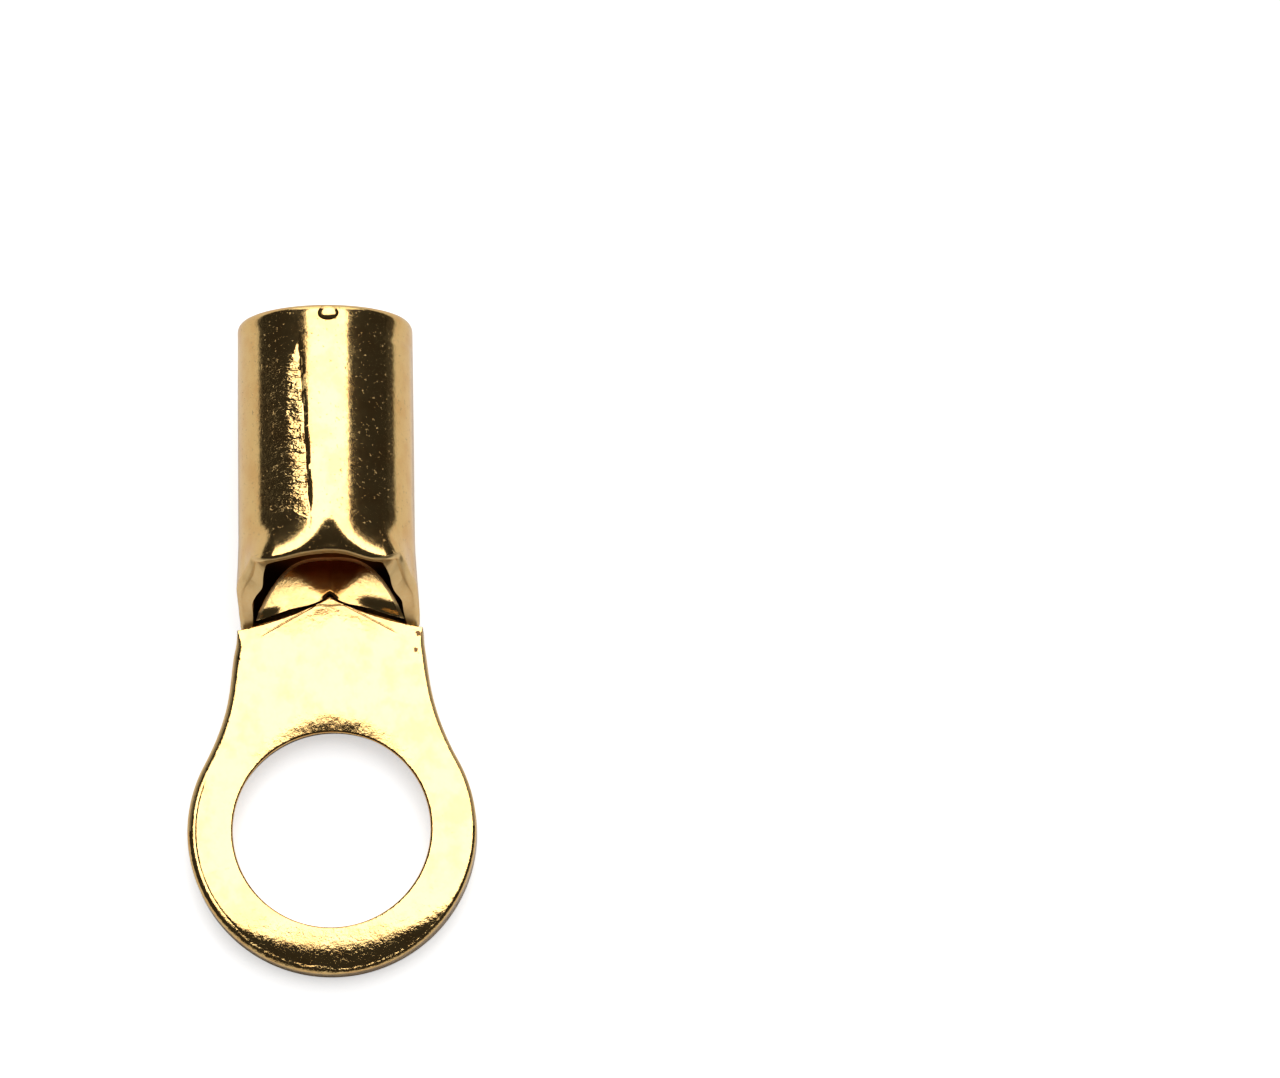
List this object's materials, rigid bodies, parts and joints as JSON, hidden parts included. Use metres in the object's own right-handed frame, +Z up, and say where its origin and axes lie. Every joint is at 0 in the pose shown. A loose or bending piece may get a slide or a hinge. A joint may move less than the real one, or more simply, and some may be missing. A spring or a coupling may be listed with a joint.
{
  "type": "ring terminal",
  "caption": "Gold-plated ring terminal: a rolled barrel for a stripped cable, pressed flat into a ring tongue that bolts under an M8 stud's nut.",
  "frame": {"origin": "middle of the bounding box, on the plane of the ring's underside", "axes": "+Z up out of the ring's face, +Y along the barrel toward its wire end, +X across the ring"},
  "size_m": [0.0122, 0.0276, 0.0077],
  "materials": {
    "gold_plate": "polished gold plating over the metal, bright on the tongue and finely hammered on the barrel"
  },
  "bodies": {
    "root": {"ring_terminal": "gold_plate"}
  },
  "joints": []
}
